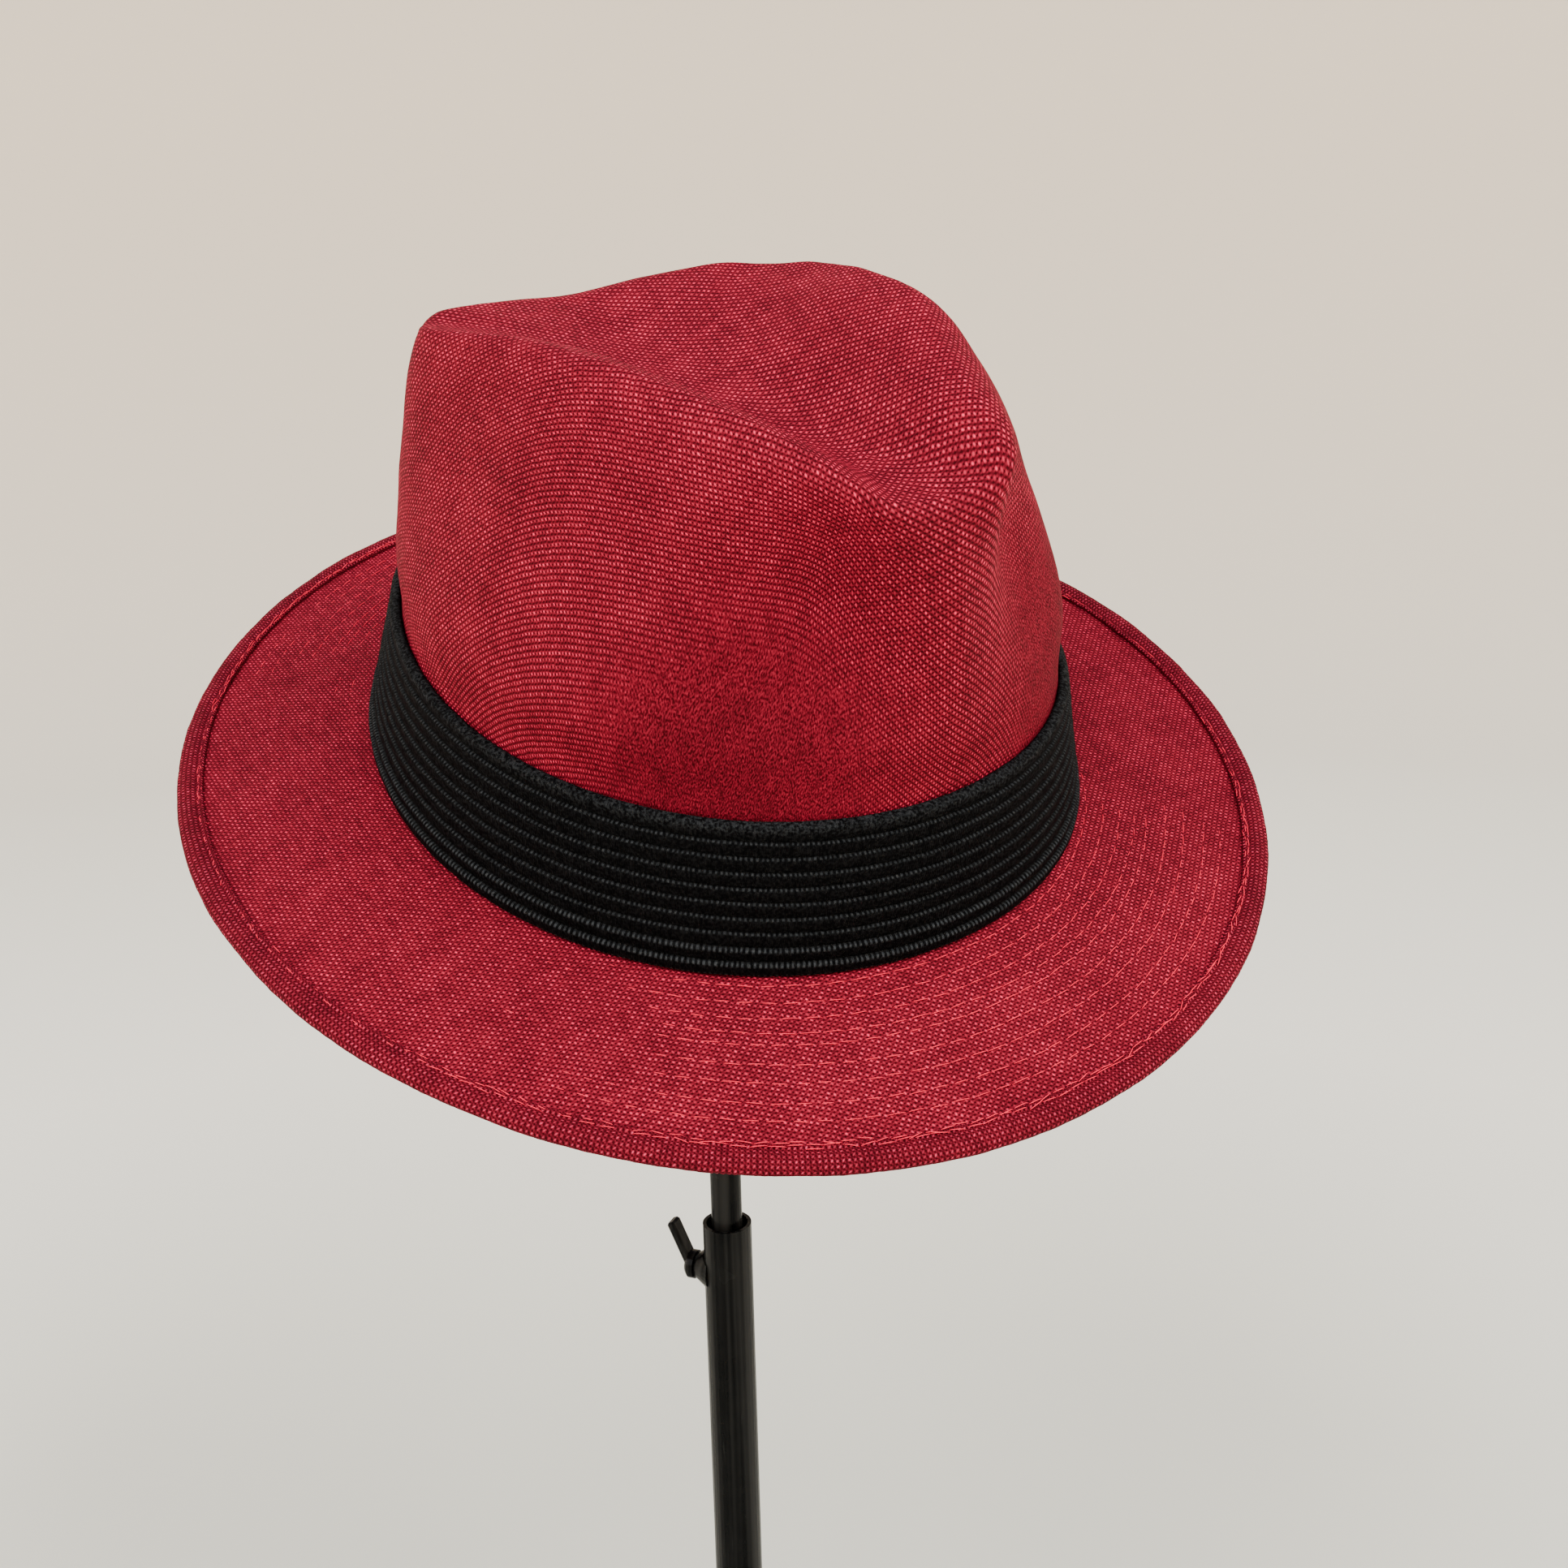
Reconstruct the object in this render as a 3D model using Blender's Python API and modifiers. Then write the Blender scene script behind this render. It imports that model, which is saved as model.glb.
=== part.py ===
"""Fedora of woven cloth with a pleated band, tipped on a telescoping hat stand.

Metres, +Z up. The origin is the middle of the stand's base, on the surface that it stands on.
The hat is built in a frame of its own, front at -Y and head opening in the XY plane, and an
empty leans that frame on the stand.
"""
import math

import bmesh
import bpy
from mathutils import Matrix, Vector

# Crown, below the crest
CROWN_LENGTH = 0.1964        # outside, front to back, where the crown meets the brim
CROWN_WIDTH = 0.1664         # outside, side to side
FRONT_FULLNESS = 0.075       # share by which the oval is wider in front than at the back
CROWN_WALL = 0.0016
CROWN_TAPER = 0.008          # how far the wall leans in up to the band's top edge

# Crest, the ridge round the dent in the top
CREST_HEIGHT = 0.1113        # of its highest place above the brim
CREST_LENGTH = 0.1395
CREST_WIDTH = 0.099
CREST_BACK = 0.0640          # its back end behind the middle of the head opening

# Dent in the top, and the pinch on each side of the front
DENT_DEPTH = 0.0195          # of its floor below the highest place of the crest
DENT_FRONT = 0.050           # front end of its floor, before the middle
DENT_BACK = 0.034
PINCH_DEPTH = 0.0120
PINCH_TURN = 27.0            # degrees round from the front
PINCH_SPREAD = 18.0          # degrees to where it has faded by two thirds
PINCH_RISE = 0.70            # share of the way from the band to the crest
PINCH_TALL = 0.42            # the same kind of share, to where it has faded by two thirds
CREST_HOLD = 6               # power of the rise with which the crest holds its line over a pinch

# Band
BAND_HEIGHT = 0.0341
BAND_THICKNESS = 0.0025
BAND_PLEATS = 10
PLEAT_DEPTH = 0.0008
PLEAT_PEAK = 0.80            # share of a pleat's height at which it stands out most

# Brim and its turned-up hem
BRIM_WIDTH = 0.0472          # from the band to the edge, along the slope
BRIM_THICKNESS = 0.0016
HEM_WIDTH = 0.0062
HEM_THICKNESS = 0.0010
HEM_FOLD = 0.0010            # thickness of the fold round the brim's edge

# How the hat sits on the stand
HAT_LEAN = 22.4              # degrees from level
HAT_LEAN_TURN = 24.7         # degrees from the front towards the hat's -X side
HAT_MIDDLE = (0.0074, 0.0107, 0.3226)    # middle of the head opening

# Stand
BASE_RADIUS = 0.078
BASE_THICKNESS = 0.008
BASE_EDGE = 0.0025
SLEEVE_RADIUS = 0.00665
SLEEVE_WALL = 0.0010
SLEEVE_TOP = 0.187           # height of the sleeve's rim above the table
POLE_RADIUS = 0.0042
HEAD_RADIUS = 0.030          # radius of the ball that the head is cut from
HEAD_CAP = 0.017             # height kept of it
HEAD_RINGS = 6

# Thumb screw that clamps the pole
SCREW_DROP = 0.0145          # of its axis below the sleeve's rim
SCREW_TURN = 122.0           # degrees round the pole from +X
SHANK_RADIUS = 0.0018
BOSS_RADIUS = 0.0064         # where the boss meets the sleeve
BOSS_TIP_RADIUS = 0.0034
BOSS_LENGTH = 0.0022         # beyond the sleeve
DISC_RADIUS = 0.0039
DISC_THICKNESS = 0.0026
DISC_EDGE = 0.0008           # chamfer round the disc's outer face
WING_WIDTH = 0.0046
WING_LENGTH = 0.0135         # from the screw's axis
WING_THICKNESS = 0.0024
WING_EDGE = 0.0006
WING_LEAN = 24.0             # degrees off upright, away from the sleeve

# Fits and fineness
GAP = 0.0003                 # between pieces that touch
MERGE_DISTANCE = 0.000005    # under which two corners of a mesh are one
AROUND = 48                  # sections round the hat
TURNED_STEPS = 32            # sides of a turned piece

# Turn from the front in degrees, then shares: side of half CREST_WIDTH, forward of CREST_LENGTH
# from its back end, and up of CREST_HEIGHT
CREST = (
    # turn, side, forward, up
    (0, 0.00, 1.00, 0.860),
    (14, 0.255, 1.00, 0.875),
    (28, 0.395, 0.965, 0.912),
    (42, 0.51, 0.86, 0.948),
    (58, 0.695, 0.705, 0.975),
    (76, 0.92, 0.55, 1.000),
    (94, 1.03, 0.37, 0.975),
    (112, 1.08, 0.19, 0.918),
    (130, 0.965, 0.09, 0.885),
    (146, 0.78, 0.036, 0.878),
    (163, 0.43, 0.007, 0.858),
    (180, 0.00, 0.00, 0.840),
)
# Wall from the band's top edge to the crest: share of the height, then share of the way in
WALL = (
    # up, in at the front, in at the side, in at the back
    (0.00, 0.00, 0.00, 0.00),
    (0.22, 0.00, 0.00, -0.06),
    (0.44, 0.12, 0.20, -0.04),
    (0.63, 0.25, 0.45, 0.07),
    (0.79, 0.42, 0.63, 0.25),
    (0.90, 0.60, 0.79, 0.50),
    (0.97, 0.77, 0.91, 0.76),
    (1.00, 1.00, 1.00, 1.00),
)
# Dent from the crest to its floor: share of the way in, share of the drop
DENT = (
    (0.10, 0.03),
    (0.24, 0.14),
    (0.42, 0.38),
    (0.62, 0.68),
    (0.82, 0.92),
    (1.00, 1.00),
)
# Slope of the brim in degrees, up positive, as waves round the hat
BRIM_WAVES = (
    # waves round the hat, part that peaks in front, part that peaks at the +X side
    (0, -4.8, 0.0),
    (1, -1.7, 4.8),
    (2, -3.7, -1.8),
    (3, -1.4, 0.0),
)
# Rings of the brim: share of the way from the band to the edge
BRIM_RINGS = (0.0, 0.15, 0.35, 0.55, 0.75, 0.90, 1.0)


def clear_scene():
    for item in list(bpy.data.objects):
        bpy.data.objects.remove(item, do_unlink=True)


def make_collection(name):
    group = bpy.data.collections.new(name)
    bpy.context.scene.collection.children.link(group)
    return group


def make_material(name, colour, roughness, metallic=0.0):
    material = bpy.data.materials.new(name)
    material.use_nodes = True
    shader = material.node_tree.nodes["Principled BSDF"]
    shader.inputs["Base Color"].default_value = (*colour, 1.0)
    shader.inputs["Roughness"].default_value = roughness
    shader.inputs["Metallic"].default_value = metallic
    return material


def add_object(name, mesh, group, material=None, parent=None):
    item = bpy.data.objects.new(name, mesh)
    group.objects.link(item)
    if material:
        mesh.materials.append(material)
    if parent:
        item.parent = parent
    return item


def add_empty(name, group, location=(0, 0, 0)):
    empty = bpy.data.objects.new(name, None)
    empty.location = location
    group.objects.link(empty)
    return empty


def smooth(item, angle):
    """Smooth shading on a lofted piece, sharp where two faces meet at more than the angle."""
    item.data.shade_smooth()
    item.data.set_sharp_from_angle(angle=math.radians(angle))


def shade_turned(item):
    """Smooth shading on a turned piece, in which large flat ends still look flat."""
    item.modifiers.new("shading", "WEIGHTED_NORMAL")


def curve_through(knots, values, place, mirror):
    """Smooth curve through a half round table, mirrored to the other half (1 even, -1 odd)."""
    full_turn = 360.0
    left = [(-k, mirror * v) for k, v in zip(knots[1:-1], values[1:-1])][::-1]
    ring = left + list(zip(knots, values))
    ring = [(k - full_turn, v) for k, v in ring[-2:]] + ring + [(k + full_turn, v) for k, v in ring[:2]]
    place = (place + full_turn / 2) % full_turn - full_turn / 2
    i = max(n for n in range(1, len(ring) - 2) if ring[n][0] <= place)
    (k0, v0), (k1, v1), (k2, v2), (k3, v3) = ring[i - 1:i + 3]
    span = k2 - k1
    t = (place - k1) / span
    slope1 = (v2 - v0) / (k2 - k0) * span
    slope2 = (v3 - v1) / (k3 - k1) * span
    return ((2 * t**3 - 3 * t**2 + 1) * v1 + (t**3 - 2 * t**2 + t) * slope1
            + (3 * t**2 - 2 * t**3) * v2 + (t**3 - t**2) * slope2)


def outward(turn):
    """Level direction away from the head opening's oval."""
    x = math.sin(turn) / CROWN_WIDTH
    y = -math.cos(turn) / CROWN_LENGTH
    return Vector((x, y)).normalized()


def oval(turn, outset):
    """Point on the crown's foot oval, moved outwards by the outset."""
    fullness = 1 + FRONT_FULLNESS * math.cos(turn)
    x = CROWN_WIDTH / 2 * math.sin(turn) * fullness
    y = -CROWN_LENGTH / 2 * math.cos(turn)
    return Vector((x, y)) + outward(turn) * outset


def crest_point(turn):
    degrees = math.degrees(turn)
    knots = [row[0] for row in CREST]
    side = curve_through(knots, [row[1] for row in CREST], degrees, -1)
    forward = curve_through(knots, [row[2] for row in CREST], degrees, 1)
    up = curve_through(knots, [row[3] for row in CREST], degrees, 1)
    return Vector((CREST_WIDTH / 2 * side, CREST_BACK - CREST_LENGTH * forward, CREST_HEIGHT * up))


def dent_floor(turn):
    middle = (DENT_BACK - DENT_FRONT) / 2
    reach = (DENT_BACK + DENT_FRONT) / 2
    return Vector((0.0, middle - reach * math.cos(turn), CREST_HEIGHT - DENT_DEPTH))


def pinch(turn, up):
    """How far the wall is pressed in; nothing at the band and at the crest."""
    degrees = abs((math.degrees(turn) + 180.0) % 360.0 - 180.0)
    around = (degrees - PINCH_TURN) / PINCH_SPREAD
    rise = (up - PINCH_RISE) / PINCH_TALL
    fade = min(1.0, up / WALL[1][0]) * (1 - up**CREST_HOLD)
    return PINCH_DEPTH * math.exp(-around**2 - rise**2) * fade


def crown_section(turn):
    """Outside of the crown from the brim up the wall, over the crest and down to the dent's floor."""
    points = []
    inner_edge_drop = CROWN_WALL * math.sin(math.atan(CROWN_TAPER / BAND_HEIGHT))
    foot_height = GAP + inner_edge_drop
    for share in (0.0, 0.5):
        foot = oval(turn, -CROWN_TAPER * share)
        points.append(Vector((*foot, foot_height + (BAND_HEIGHT - foot_height) * share)))
    start = oval(turn, -CROWN_TAPER)
    crest = crest_point(turn)
    floor = dent_floor(turn)
    front = max(0.0, math.cos(turn))**2
    back = max(0.0, -math.cos(turn))**2
    side = 1 - front - back
    for up, in_front, in_side, in_back in WALL:
        inset = front * in_front + side * in_side + back * in_back
        place = start.lerp(crest.xy, inset) - outward(turn) * pinch(turn, up)
        points.append(Vector((*place, BAND_HEIGHT + (crest.z - BAND_HEIGHT) * up)))
    for inset, drop in DENT:
        place = crest.xy.lerp(floor.xy, inset)
        points.append(Vector((*place, crest.z + (floor.z - crest.z) * drop)))
    return points


def brim_slope(turn):
    waves = (even * math.cos(n * turn) + odd * math.sin(n * turn) for n, even, odd in BRIM_WAVES)
    return math.radians(sum(waves))


def brim_point(turn, out, lift):
    """Place on the brim: out from the band along the slope, lifted off its upper side."""
    slope = brim_slope(turn)
    start = oval(turn, BAND_THICKNESS + GAP)
    level = start + outward(turn) * (out * math.cos(slope) - lift * math.sin(slope))
    return Vector((*level, out * math.sin(slope) + lift * math.cos(slope)))


def brim_section(turn):
    """Upper side of the brim, from inside the head opening to just inside the hem's fold."""
    inner = oval(turn, -CROWN_WALL)
    edge = BRIM_WIDTH - HEM_FOLD - GAP
    return [Vector((*inner, 0.0))] + [brim_point(turn, edge * share, 0.0) for share in BRIM_RINGS]


def hem_section(turn):
    """Closed outline of the hem: a strip on the brim that folds down over its edge."""
    top = GAP + HEM_THICKNESS
    inner_edge = BRIM_WIDTH - HEM_WIDTH
    fold_inside = BRIM_WIDTH - HEM_FOLD
    outline = (
        (inner_edge, GAP),
        (inner_edge, top),
        (fold_inside, top),
        (BRIM_WIDTH, top - HEM_FOLD),
        (BRIM_WIDTH, -BRIM_THICKNESS),
        (fold_inside, -BRIM_THICKNESS),
        (fold_inside, GAP),
    )
    return [brim_point(turn, out, lift) for out, lift in outline]


def band_section(turn):
    """Closed outline of the band: a plain inner face and one ridge for each pleat outside."""
    inner = GAP
    bottom = GAP
    outer = GAP + BAND_THICKNESS
    pleat = (BAND_HEIGHT - bottom) / BAND_PLEATS
    outline = [(inner, BAND_HEIGHT), (inner, bottom)]
    for number in range(BAND_PLEATS):
        outline.append((outer - PLEAT_DEPTH, bottom + pleat * number))
        outline.append((outer, bottom + pleat * (number + PLEAT_PEAK)))
    outline.append((outer - PLEAT_DEPTH, BAND_HEIGHT))
    points = []
    for outset, height in outline:
        lean = CROWN_TAPER * (height - GAP) / (BAND_HEIGHT - GAP)
        points.append(Vector((*oval(turn, outset - lean), height)))
    return points


def loft(name, section, closed):
    """Mesh through sections set all round the hat."""
    mesh = bpy.data.meshes.new(name)
    work = bmesh.new()
    rows = []
    for number in range(AROUND):
        points = section(2 * math.pi * number / AROUND)
        rows.append([work.verts.new(point) for point in points])
    steps = len(rows[0]) if closed else len(rows[0]) - 1
    for number in range(AROUND):
        here, following = rows[number], rows[(number + 1) % AROUND]
        for step in range(steps):
            far = (step + 1) % len(here)
            work.faces.new((here[step], following[step], following[far], here[far]))
    bmesh.ops.remove_doubles(work, verts=work.verts, dist=MERGE_DISTANCE)
    bmesh.ops.dissolve_degenerate(work, edges=work.edges, dist=MERGE_DISTANCE)
    bmesh.ops.recalc_face_normals(work, faces=work.faces)
    work.to_mesh(mesh)
    work.free()
    return mesh


def thicken(item, thickness):
    """Wall of even thickness on the inner side of the modelled face."""
    wall = item.modifiers.new("wall", "SOLIDIFY")
    wall.thickness = thickness
    wall.offset = -1.0
    wall.use_even_offset = True
    return wall


def turned(name, profile, group, material, steps=TURNED_STEPS, parent=None):
    """Turned piece from its outline in the XZ plane, top to bottom down the outer side."""
    mesh = bpy.data.meshes.new(name)
    edges = [(n, n + 1) for n in range(len(profile) - 1)]
    if profile[0][0] > 0:
        edges.append((len(profile) - 1, 0))
    mesh.from_pydata([(radius, 0.0, height) for radius, height in profile], edges, [])
    item = add_object(name, mesh, group, material, parent)
    screw = item.modifiers.new("turn", "SCREW")
    screw.steps = steps
    screw.render_steps = steps
    screw.use_merge_vertices = True
    screw.merge_threshold = MERGE_DISTANCE
    return item


def cut(item, cutter, operation="DIFFERENCE"):
    boolean = item.modifiers.new(operation.lower(), "BOOLEAN")
    boolean.operation = operation
    boolean.object = cutter
    boolean.solver = "EXACT"


def guide(item):
    """Marks an object that only shapes another."""
    item.hide_render = True
    item.display_type = "WIRE"


def hat_placement(group):
    """Empty in the middle of the head opening, leaning as the hat does."""
    place = add_empty("hat_placement", group, HAT_MIDDLE)
    turn = math.radians(HAT_LEAN_TURN)
    axis = Vector((0, 0, 1)).cross(Vector((-math.sin(turn), -math.cos(turn), 0)))
    place.rotation_euler = Matrix.Rotation(math.radians(HAT_LEAN), 3, axis).to_euler()
    return place


def build_crown(group, cloth, place):
    crown = add_object("crown", loft("crown", crown_section, False), group, cloth, place)
    thicken(crown, CROWN_WALL)
    smooth(crown, angle=60.0)
    return crown


def build_brim(group, cloth, place):
    brim = add_object("brim", loft("brim", brim_section, False), group, cloth, place)
    thicken(brim, BRIM_THICKNESS)
    smooth(brim, angle=35.0)


def build_hem(group, cloth, place):
    hem = add_object("brim_hem", loft("brim_hem", hem_section, True), group, cloth, place)
    smooth(hem, angle=35.0)


def build_band(group, ribbon, place):
    band = add_object("hat_band", loft("hat_band", band_section, True), group, ribbon, place)
    smooth(band, angle=30.0)


def head_centre_height(crown):
    """Height at which the head's ball, centred on the pole, touches the inside of the crown."""
    bpy.context.view_layer.update()
    seen = crown.evaluated_get(bpy.context.evaluated_depsgraph_get())
    mesh = seen.to_mesh()
    reach = HEAD_RADIUS + GAP
    heights = []
    for face in mesh.polygons:
        corners = [seen.matrix_world @ mesh.vertices[n].co for n in face.vertices]
        middle = sum(corners, Vector()) / len(corners)
        sides = [(a + b) / 2 for a, b in zip(corners, corners[1:] + corners[:1])]
        for point in corners + sides + [middle]:
            across = math.hypot(point.x, point.y)
            if across < reach:
                heights.append(point.z - math.sqrt(reach**2 - across**2))
    seen.to_mesh_clear()
    return min(heights)


def build_base(group, steel):
    profile = (
        (0.0, BASE_THICKNESS),
        (BASE_RADIUS - BASE_EDGE, BASE_THICKNESS),
        (BASE_RADIUS, BASE_THICKNESS - BASE_EDGE),
        (BASE_RADIUS, 0.0),
        (0.0, 0.0),
    )
    base = turned("stand_base", profile, group, steel, steps=2 * TURNED_STEPS)
    shade_turned(base)


def build_sleeve(group, cutters, steel, screw_place):
    bore = SLEEVE_RADIUS - SLEEVE_WALL
    foot = BASE_THICKNESS + GAP
    profile = (
        (SLEEVE_RADIUS, SLEEVE_TOP),
        (SLEEVE_RADIUS, foot),
        (bore, foot),
        (bore, SLEEVE_TOP),
    )
    sleeve = turned("stand_sleeve", profile, group, steel)
    hole_radius = SHANK_RADIUS + GAP
    hole = (
        (0.0, 2 * SLEEVE_RADIUS),
        (hole_radius, 2 * SLEEVE_RADIUS),
        (hole_radius, POLE_RADIUS),
        (0.0, POLE_RADIUS),
    )
    cutter = turned("screw_hole", hole, cutters, steel, parent=screw_place)
    guide(cutter)
    cut(sleeve, cutter)
    shade_turned(sleeve)


def build_pole(group, steel, top):
    foot = BASE_THICKNESS + GAP
    profile = ((0.0, top), (POLE_RADIUS, top), (POLE_RADIUS, foot), (0.0, foot))
    pole = turned("stand_pole", profile, group, steel)
    shade_turned(pole)


def build_head(group, steel, centre):
    """Low dome that the crown rests on, cut off flat below and seated on the pole."""
    flat = HEAD_RADIUS - HEAD_CAP
    half_angle = math.acos(flat / HEAD_RADIUS)
    angles = [half_angle * n / HEAD_RINGS for n in range(HEAD_RINGS + 1)]
    profile = [(HEAD_RADIUS * math.sin(a), centre + HEAD_RADIUS * math.cos(a)) for a in angles]
    profile.append((0.0, centre + flat))
    head = turned("stand_head", profile, group, steel)
    shade_turned(head)


def build_screw(group, cutters, steel, screw_place):
    """Boss fixed to the sleeve, and the thumb screw whose tip holds the pole."""
    boss_top = SLEEVE_RADIUS + GAP + BOSS_LENGTH
    boss_foot = POLE_RADIUS
    bore = SHANK_RADIUS + GAP
    profile = ((BOSS_TIP_RADIUS, boss_top), (BOSS_RADIUS, boss_foot), (bore, boss_foot), (bore, boss_top))
    boss = turned("screw_boss", profile, group, steel, parent=screw_place)
    saddle_radius = SLEEVE_RADIUS + GAP
    saddle_top = SLEEVE_TOP + BOSS_RADIUS
    saddle = ((0.0, saddle_top), (saddle_radius, saddle_top), (saddle_radius, 0.0), (0.0, 0.0))
    cutter = turned("boss_saddle", saddle, cutters, steel)
    guide(cutter)
    cut(boss, cutter)
    shade_turned(boss)

    disc_foot = boss_top + GAP
    disc_top = disc_foot + DISC_THICKNESS
    tip = POLE_RADIUS + GAP
    profile = (
        (0.0, disc_top),
        (DISC_RADIUS - DISC_EDGE, disc_top),
        (DISC_RADIUS, disc_top - DISC_EDGE),
        (DISC_RADIUS, disc_foot),
        (SHANK_RADIUS, disc_foot),
        (SHANK_RADIUS, tip),
        (0.0, tip),
    )
    screw = turned("thumb_screw", profile, group, steel, parent=screw_place)

    work = bmesh.new()
    bmesh.ops.create_cube(work, size=1.0)
    bmesh.ops.scale(work, verts=work.verts, vec=(WING_LENGTH, WING_WIDTH, WING_THICKNESS))
    bmesh.ops.translate(work, verts=work.verts, vec=(-WING_LENGTH / 2, 0, 0))
    mesh = bpy.data.meshes.new("wing_shape")
    work.to_mesh(mesh)
    work.free()
    wing = add_object("wing_shape", mesh, cutters, parent=screw_place)
    wing.location = (0.0, 0.0, disc_top - WING_THICKNESS / 2)
    wing.rotation_euler = (0.0, math.radians(WING_LEAN), 0.0)
    bevel = wing.modifiers.new("edge", "BEVEL")
    bevel.width = WING_EDGE
    bevel.segments = 1
    guide(wing)
    cut(screw, wing, "UNION")
    shade_turned(screw)


def main():
    clear_scene()
    parts = make_collection("fedora_on_stand")
    cutters = make_collection("cutters")

    cloth = make_material("red_woven_cloth", (0.42, 0.02, 0.035), 0.8)
    ribbon = make_material("black_ribbon", (0.012, 0.012, 0.014), 0.6)
    steel = make_material("black_painted_steel", (0.01, 0.01, 0.011), 0.3)

    place = hat_placement(parts)
    crown = build_crown(parts, cloth, place)
    build_brim(parts, cloth, place)
    build_hem(parts, cloth, place)
    build_band(parts, ribbon, place)

    centre = head_centre_height(crown)
    head_foot = centre + HEAD_RADIUS - HEAD_CAP
    build_base(parts, steel)
    build_pole(parts, steel, head_foot - GAP)
    build_head(parts, steel, centre)

    screw_place = add_empty("screw_placement", parts, (0.0, 0.0, SLEEVE_TOP - SCREW_DROP))
    screw_place.rotation_euler = (0.0, math.radians(90.0), math.radians(SCREW_TURN))
    build_sleeve(parts, cutters, steel, screw_place)
    build_screw(parts, cutters, steel, screw_place)


main()
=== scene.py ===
"""Woven red fedora with a pleated black band, tipped on a black telescoping hat stand.

Metres, +Z up, the origin under the stand's pole on the table. The hat's own shapes are worked out
in a frame whose front is -Y and whose head opening lies in the XY plane, then leaned on the stand.
"""
import math

import bmesh
import bpy
import numpy as np
from mathutils import Matrix, Vector, noise


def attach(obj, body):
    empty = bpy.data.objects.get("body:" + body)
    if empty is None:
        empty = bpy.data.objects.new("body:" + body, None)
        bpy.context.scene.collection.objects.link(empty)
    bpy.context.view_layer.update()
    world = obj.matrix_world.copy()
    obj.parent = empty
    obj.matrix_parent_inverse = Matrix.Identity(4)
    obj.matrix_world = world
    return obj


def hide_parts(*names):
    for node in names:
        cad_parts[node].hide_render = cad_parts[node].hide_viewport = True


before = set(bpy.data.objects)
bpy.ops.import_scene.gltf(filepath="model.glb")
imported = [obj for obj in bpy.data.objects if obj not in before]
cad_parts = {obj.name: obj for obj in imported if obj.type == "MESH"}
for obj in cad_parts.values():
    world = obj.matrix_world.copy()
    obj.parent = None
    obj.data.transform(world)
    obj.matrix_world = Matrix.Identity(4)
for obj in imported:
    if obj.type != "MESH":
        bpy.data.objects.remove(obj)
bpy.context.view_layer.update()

# Crown: plain-woven red cloth, blocked over a form into a crest with a dent in the top and a pinch
# on each side of the front. It is one cloth with no seam, and the band hides where it meets the brim.
CROWN_LENGTH = 0.1964
CROWN_WIDTH = 0.1664
FRONT_FULLNESS = 0.075       # share by which the oval is wider in front than at the back
CROWN_WALL = 0.0016
CROWN_TAPER = 0.008
FOOT_HEIGHT = 0.0007
BAND_HEIGHT = 0.0341
CREST_HEIGHT = 0.1113
CREST_LENGTH = 0.1395
CREST_WIDTH = 0.099
CREST_BACK = 0.0640
DENT_DEPTH = 0.0195
DENT_FRONT = 0.050
DENT_BACK = 0.034
DENT_SADDLE = 0.0030         # how much higher the dent's floor is at its front end
PINCH_DEPTH = 0.0120
PINCH_TURN = 27.0
PINCH_SPREAD = 18.0
PINCH_RISE = 0.70
PINCH_TALL = 0.42
PINCH_FADE = 0.22            # share of the rise over which a pinch starts above the band
CREST_HOLD = 6
CROWN_AROUND = 360
CROWN_FINE = 6               # rings between two rows of the tables
HAT_LEAN = 22.4
HAT_LEAN_TURN = 24.7
HAT_MIDDLE = (0.0074, 0.0107, 0.3226)
MERGE_DISTANCE = 0.000005
# Turn from the front in degrees, then shares: side of half CREST_WIDTH, forward of CREST_LENGTH
# from its back end, and up of CREST_HEIGHT
CREST = np.array((
    (0, 0.00, 1.00, 0.860),
    (14, 0.255, 1.00, 0.875),
    (28, 0.395, 0.965, 0.912),
    (42, 0.51, 0.86, 0.948),
    (58, 0.695, 0.705, 0.975),
    (76, 0.90, 0.55, 0.997),
    (94, 1.00, 0.37, 0.973),
    (112, 1.08, 0.19, 0.918),
    (130, 0.965, 0.09, 0.885),
    (146, 0.78, 0.036, 0.878),
    (163, 0.43, 0.007, 0.858),
    (180, 0.00, 0.00, 0.840),
))
# Wall from the band's top edge to the crest: share of the height, then share of the way in at the
# front, at the side and at the back
WALL = (
    (0.00, 0.00, 0.00, 0.00),
    (0.22, 0.00, 0.00, -0.06),
    (0.44, 0.12, 0.20, -0.04),
    (0.63, 0.25, 0.42, 0.07),
    (0.79, 0.42, 0.58, 0.25),
    (0.90, 0.60, 0.72, 0.50),
    (0.97, 0.77, 0.86, 0.76),
    (1.00, 1.00, 1.00, 1.00),
)
# Dent from the crest to its floor: share of the way in, share of the drop
DENT = (
    (0.10, 0.03),
    (0.24, 0.14),
    (0.42, 0.38),
    (0.62, 0.68),
    (0.82, 0.92),
    (1.00, 1.00),
)


def all_round(count):
    return np.arange(count) * 2 * math.pi / count


def join(*columns):
    return np.stack(np.broadcast_arrays(*columns), -1)


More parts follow.
